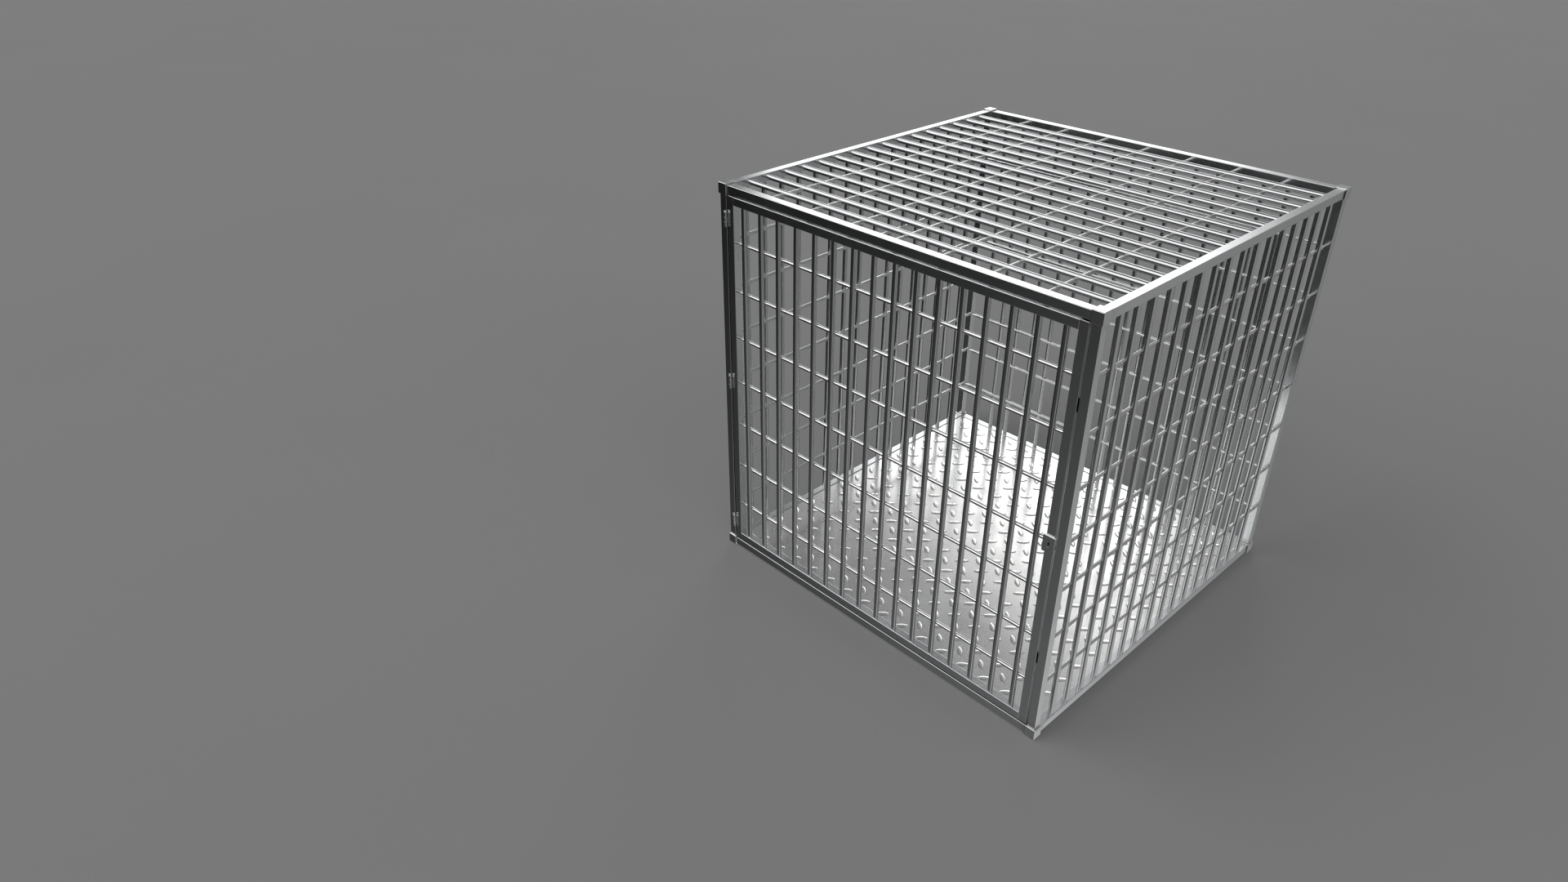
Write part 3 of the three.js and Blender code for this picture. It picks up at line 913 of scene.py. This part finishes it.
def pin(axis, low, high, sizes):
    """A pin with a domed head at each end. A head's side is straight for its lowest third, and
    its dome is a quarter of an ellipse over the rest."""
    shank = sizes.pin_diameter / 2
    head = (high[0] - low[0]) / 2
    turn = np.linspace(0, pi / 2, 6)[1:-1]
    foot = high[2] - HEAD_HEIGHT
    dome = [(head * np.cos(t), foot + HEAD_HEIGHT * (0.35 + 0.65 * np.sin(t))) for t in turn]
    shoulder = (head, foot + 0.3 * HEAD_HEIGHT)
    cap = [(0.0, high[2]), *dome[::-1], shoulder, (head, foot), (shank, foot)]
    lower = [(radius, 2 * axis[2] - height) for radius, height in cap]
    point, quad, flat = revolved(lower + cap[::-1], 24)
    return point + [axis[0], axis[1], 0], quad, flat


class KENNEL_OT_lock(bpy.types.Operator):
    """Make the lock plate with its keyhole."""

    bl_idname = "kennel.lock"
    bl_label = "Lock plate"

    def execute(self, context):
        sizes, steel = settings("lock"), steels()["lock"]
        low, high = node_box("lock_plate")
        stand_for("lock_plate", lock_face(low, high, sizes), steel, LOCK_SHARP_EDGE)
        return {"FINISHED"}


LOCK_SHARP_EDGE = 25  # degrees, so that the plate's bevel shows


def lock_face(low, high, sizes):
    """A plate with a keyhole through it. Each ring goes round the hole or the plate at the same
    angles, and the rings run through the hole, over the face and the bevelled edge, and back."""
    middle, half = (low + high) / 2, (high - low) / 2
    steps = 96
    turn = np.arange(steps) * 2 * pi / steps
    way = np.stack([np.cos(turn), np.sin(turn)], -1)
    hole = keyhole_outline(way, sizes)
    corner = 1.5 * MM

    def edge(shrink):
        """The plate's outline, pulled in by a distance, where rays from the middle meet it."""
        x, z = half[0] - shrink, half[2] - shrink
        reach = np.minimum(
            x / np.maximum(np.abs(way[:, 0]), 1e-9), z / np.maximum(np.abs(way[:, 1]), 1e-9)
        )
        met = way * reach[:, None]
        core = np.clip(met, [corner - x, corner - z], [x - corner, z - corner])
        off = met - core
        size = np.maximum(np.linalg.norm(off, axis=1, keepdims=True), 1e-12)
        return core + off * np.minimum(1.0, corner / size)

    bevel = sizes.plate_edge
    near = hole * 1.06
    outlines = np.array([hole, hole, near, edge(bevel + 0.15 * MM), edge(bevel), edge(0), edge(0)])
    front, back = low[1], high[1]
    depths = np.array([back, front + 0.2 * MM, front, front, front, front + bevel, back])
    x, z = outlines[..., 0] + middle[0], outlines[..., 1] + middle[2]
    rings = np.stack([x, np.broadcast_to(depths[:, None], x.shape), z], -1)
    return loft(rings, np.arange(len(rings)) * 2 * MM, turn * half[0], wrap_rows=True)


def keyhole_outline(way, sizes):
    """Where rays from the keyhole's middle meet it: a round above and a straight slot below."""
    radius, slot, tall = sizes.keyhole_round, sizes.keyhole_slot / 2, sizes.keyhole_length
    centre = tall / 2 - radius
    along = way[:, 1] * centre
    to_round = along + np.sqrt(np.maximum(along**2 - centre**2 + radius**2, 0))
    meets = along**2 - centre**2 + radius**2 > 0
    to_side = slot / np.maximum(np.abs(way[:, 0]), 1e-9)
    to_foot = (tall / 2) / np.maximum(-way[:, 1], 1e-9)
    to_slot = np.minimum(to_side, to_foot)
    up = way[:, 1] > 0
    inside_round = meets & up & (to_round * way[:, 1] > centre - radius)
    reach = np.where(inside_round, np.maximum(to_round, np.minimum(to_side, centre)), to_slot)
    return way * np.minimum(reach, tall)[:, None]


class KENNEL_OT_plain_parts(bpy.types.Operator):
    """Finish the packed pieces that keep their shape: lock works, bearers and door stops."""

    bl_idname = "kennel.plain_parts"
    bl_label = "Kept pieces"

    def execute(self, context):
        steel = steels()
        finishes = {
            "floor_bearer_front": "tube",
            "floor_bearer_back": "tube",
            "door_stop_lower": "block",
            "door_stop_upper": "block",
            "lock_case": "works",
            "lock_bolt": "works",
            "lock_spring": "works",
        }
        for node, finish in finishes.items():
            slots = frame["nodes"][node].data.materials
            slots.clear()
            slots.append(steel[finish])
        return {"FINISHED"}


# ---- Stage ----

CAMERA_PLACE = (1.3206, -2.0107, 1.7290)
CAMERA_FORWARD = (-0.62446, 0.58860, -0.51341)
CAMERA_RIGHT = (0.68599, 0.72761, -0.0002)
RIGHT_X, RIGHT_Y = 0.686, 0.728  # the level direction that the light counts as right
SENSOR_WIDTH = 36.0  # millimetres
FLOOR_RADIUS = 40.0  # metres
BACKDROP = 0.95  # how bright the backdrop is beside the floor's colour


class KENNEL_OT_stage(bpy.types.Operator):
    """Make the floor, the light and the camera."""

    bl_idname = "kennel.stage"
    bl_label = "Stage"

    def execute(self, context):
        stage = settings("stage")
        make_floor(tuple(stage.floor))
        make_light(stage.sky, tuple(stage.floor))
        make_camera(stage.lens)
        context.scene.view_settings.view_transform = "Standard"
        return {"FINISHED"}


def make_floor(shade):
    """A wide disc under the cage. Metal doesn't mirror it, and sees the light's lower half."""
    material, wiring = new_material("studio_floor")
    place = wiring.add("TexCoord", output=3)
    cloud = wiring.noise(place, scale=0.8, detail=2.0)
    tone = wiring.mix(cloud, lit(shade, 0.97), lit(shade, 1.03))
    shader = wiring.add("BsdfPrincipled", None, {"Base Color": tone, "Roughness": 0.9})
    wiring.add("OutputMaterial", None, {"Surface": shader})
    edge = circle_outline(FLOOR_RADIUS, 64)
    rings = at_heights([np.zeros_like(edge), edge], [0.0, 0.0])
    disc = loft(rings, [0.0, FLOOR_RADIUS], distances(edge))
    floor = mesh_object("studio_floor", disc, material)
    if floor.data.polygons[0].normal.z < 0:
        floor.data.flip_normals()
    floor.visible_glossy = False
    floor.visible_shadow = False


def make_light(strength, shade):
    """A soft studio. A white panel stands behind the cage, a wide white window is to its left, and
    a softer fill light stands by the camera. The rest of the upper half is grey. The lower half
    is dim, lighter straight down, and lightest on the right. Each light is a product of soft
    steps in the direction's rise and compass angle, in degrees, or in how far its level part
    points right and away, from -1 to 1. The camera sees a plain backdrop instead."""
    world = bpy.data.worlds.new("studio")
    bpy.context.scene.world = world
    wiring = Wiring(world)
    way = wiring.add("TexCoord", output=0)
    x, y, z = (wiring.add("SeparateXYZ", None, {0: way}, axis) for axis in range(3))
    level = wiring.add("Math", {"operation": "MAXIMUM"}, {0: 1 - z * z, 1: 0.0001}) ** 0.5
    right = (RIGHT_X * x + RIGHT_Y * y) / level
    away = (RIGHT_X * y - RIGHT_Y * x) / level
    rise = wiring.add("Math", {"operation": "ARCSINE"}, {0: z}) * (180 / pi)
    compass = wiring.add("Math", {"operation": "ARCTAN2"}, {0: y, 1: x}) * (180 / pi)
    panel = (
        wiring.smooth(compass, 109.5, 117.0)
        * wiring.smooth(compass, 138.6, 136.6)
        * wiring.smooth(rise + 0.5 * (compass - 122.0), 39.8, 34.0)
        * wiring.smooth(rise, 3.0, 9.0)
    )
    window = (
        wiring.smooth(right, -0.30, -0.50)
        * wiring.smooth(away, -0.65, -0.45)
        * wiring.smooth(away - 0.02 * (rise - 30.0), 0.58, 0.40)
        * wiring.smooth(rise, 4.0, 12.0)
        * wiring.smooth(rise, 62.0, 54.0)
    )
    behind = 0.06 + 0.14 * wiring.smooth(away, -0.6, 0.3)
    beside = 0.20 * wiring.smooth(right, -0.1, 0.5) * wiring.smooth(rise, 0.0, 18.0)
    fill = (
        wiring.smooth(away, -0.3, -0.7)
        * wiring.smooth(rise, 3.0, 15.0)
        * wiring.smooth(rise, 62.0, 50.0)
    )
    upper = behind + beside + 2.2 * panel + 1.8 * window + 0.9 * fill
    ahead = 0.012 + wiring.ramp(rise, -17.0, -54.0, 0.0, 0.205) * wiring.smooth(away, 0.45, -0.25)
    side = (
        wiring.smooth(right, -0.3, 0.5)
        * (1 - 0.4 * wiring.smooth(away, 0.25, 0.5))
        * (0.34 + 0.26 * wiring.smooth(rise, -24.0, -50.0))
    )
    height = wiring.smooth(rise, -8.0, 8.0)
    tone = (ahead + side) * (1 - height) + upper * height
    seen = wiring.add("LightPath", output=0)
    white = (1.0, 1.0, 1.0, 1.0)
    studio = wiring.add("Background", None, {"Color": white, "Strength": tone * strength})
    backdrop = wiring.add("Background", None, {"Color": rgba(shade), "Strength": BACKDROP})
    both = wiring.add("MixShader", None, {0: seen, 1: studio, 2: backdrop})
    wiring.add("OutputWorld", None, {"Surface": both})


def make_camera(lens):
    """The camera, from its place and the directions it faces and holds to its right."""
    data = bpy.data.cameras.new("camera")
    data.lens = lens
    data.sensor_width = SENSOR_WIDTH
    data.clip_end = 5 * FLOOR_RADIUS
    camera = bpy.data.objects.new("camera", data)
    forward, right = np.array(CAMERA_FORWARD), np.array(CAMERA_RIGHT)
    up = np.cross(right, forward)
    turn = np.eye(4)
    turn[:3, :3] = np.stack([right, up, -forward], -1)
    turn[:3, 3] = CAMERA_PLACE
    camera.matrix_world = Matrix(turn.tolist())
    bpy.context.scene.collection.objects.link(camera)
    bpy.context.scene.camera = camera


class KENNEL_PT_panel(bpy.types.Panel):
    """The sizes, the colours and a button for each group of pieces."""

    bl_idname = "KENNEL_PT_panel"
    bl_label = "Kennel cage"
    bl_space_type = "VIEW_3D"
    bl_region_type = "UI"
    bl_category = "Kennel cage"

    def draw(self, context):
        for name, group in GROUPS.items():
            box = self.layout.box()
            box.label(text=group.__doc__)
            for prop in group.__annotations__:
                box.prop(settings(name), prop)
        for operator in OPERATORS:
            self.layout.operator(operator.bl_idname)


GROUPS = {
    "frame": FrameSizes,
    "grille": GrilleSizes,
    "floor": FloorSizes,
    "hinge": HingeSizes,
    "lock": LockSizes,
    "colours": SteelColours,
    "stage": StageSettings,
}
OPERATORS = (
    KENNEL_OT_stage,
    KENNEL_OT_tubes,
    KENNEL_OT_blocks,
    KENNEL_OT_grilles,
    KENNEL_OT_floor,
    KENNEL_OT_hinges,
    KENNEL_OT_lock,
    KENNEL_OT_plain_parts,
)
CLASSES = (*GROUPS.values(), *OPERATORS, KENNEL_PT_panel)


def register():
    for entry in CLASSES:
        bpy.utils.register_class(entry)
    for name, group in GROUPS.items():
        setattr(bpy.types.Scene, "kennel_" + name, PointerProperty(type=group))


def unregister():
    for name in GROUPS:
        delattr(bpy.types.Scene, "kennel_" + name)
    for entry in reversed(CLASSES):
        bpy.utils.unregister_class(entry)


def main():
    register()
    for operator in OPERATORS:
        group, name = operator.bl_idname.split(".")
        getattr(getattr(bpy.ops, group), name)()


if __name__ == "__main__":
    main()
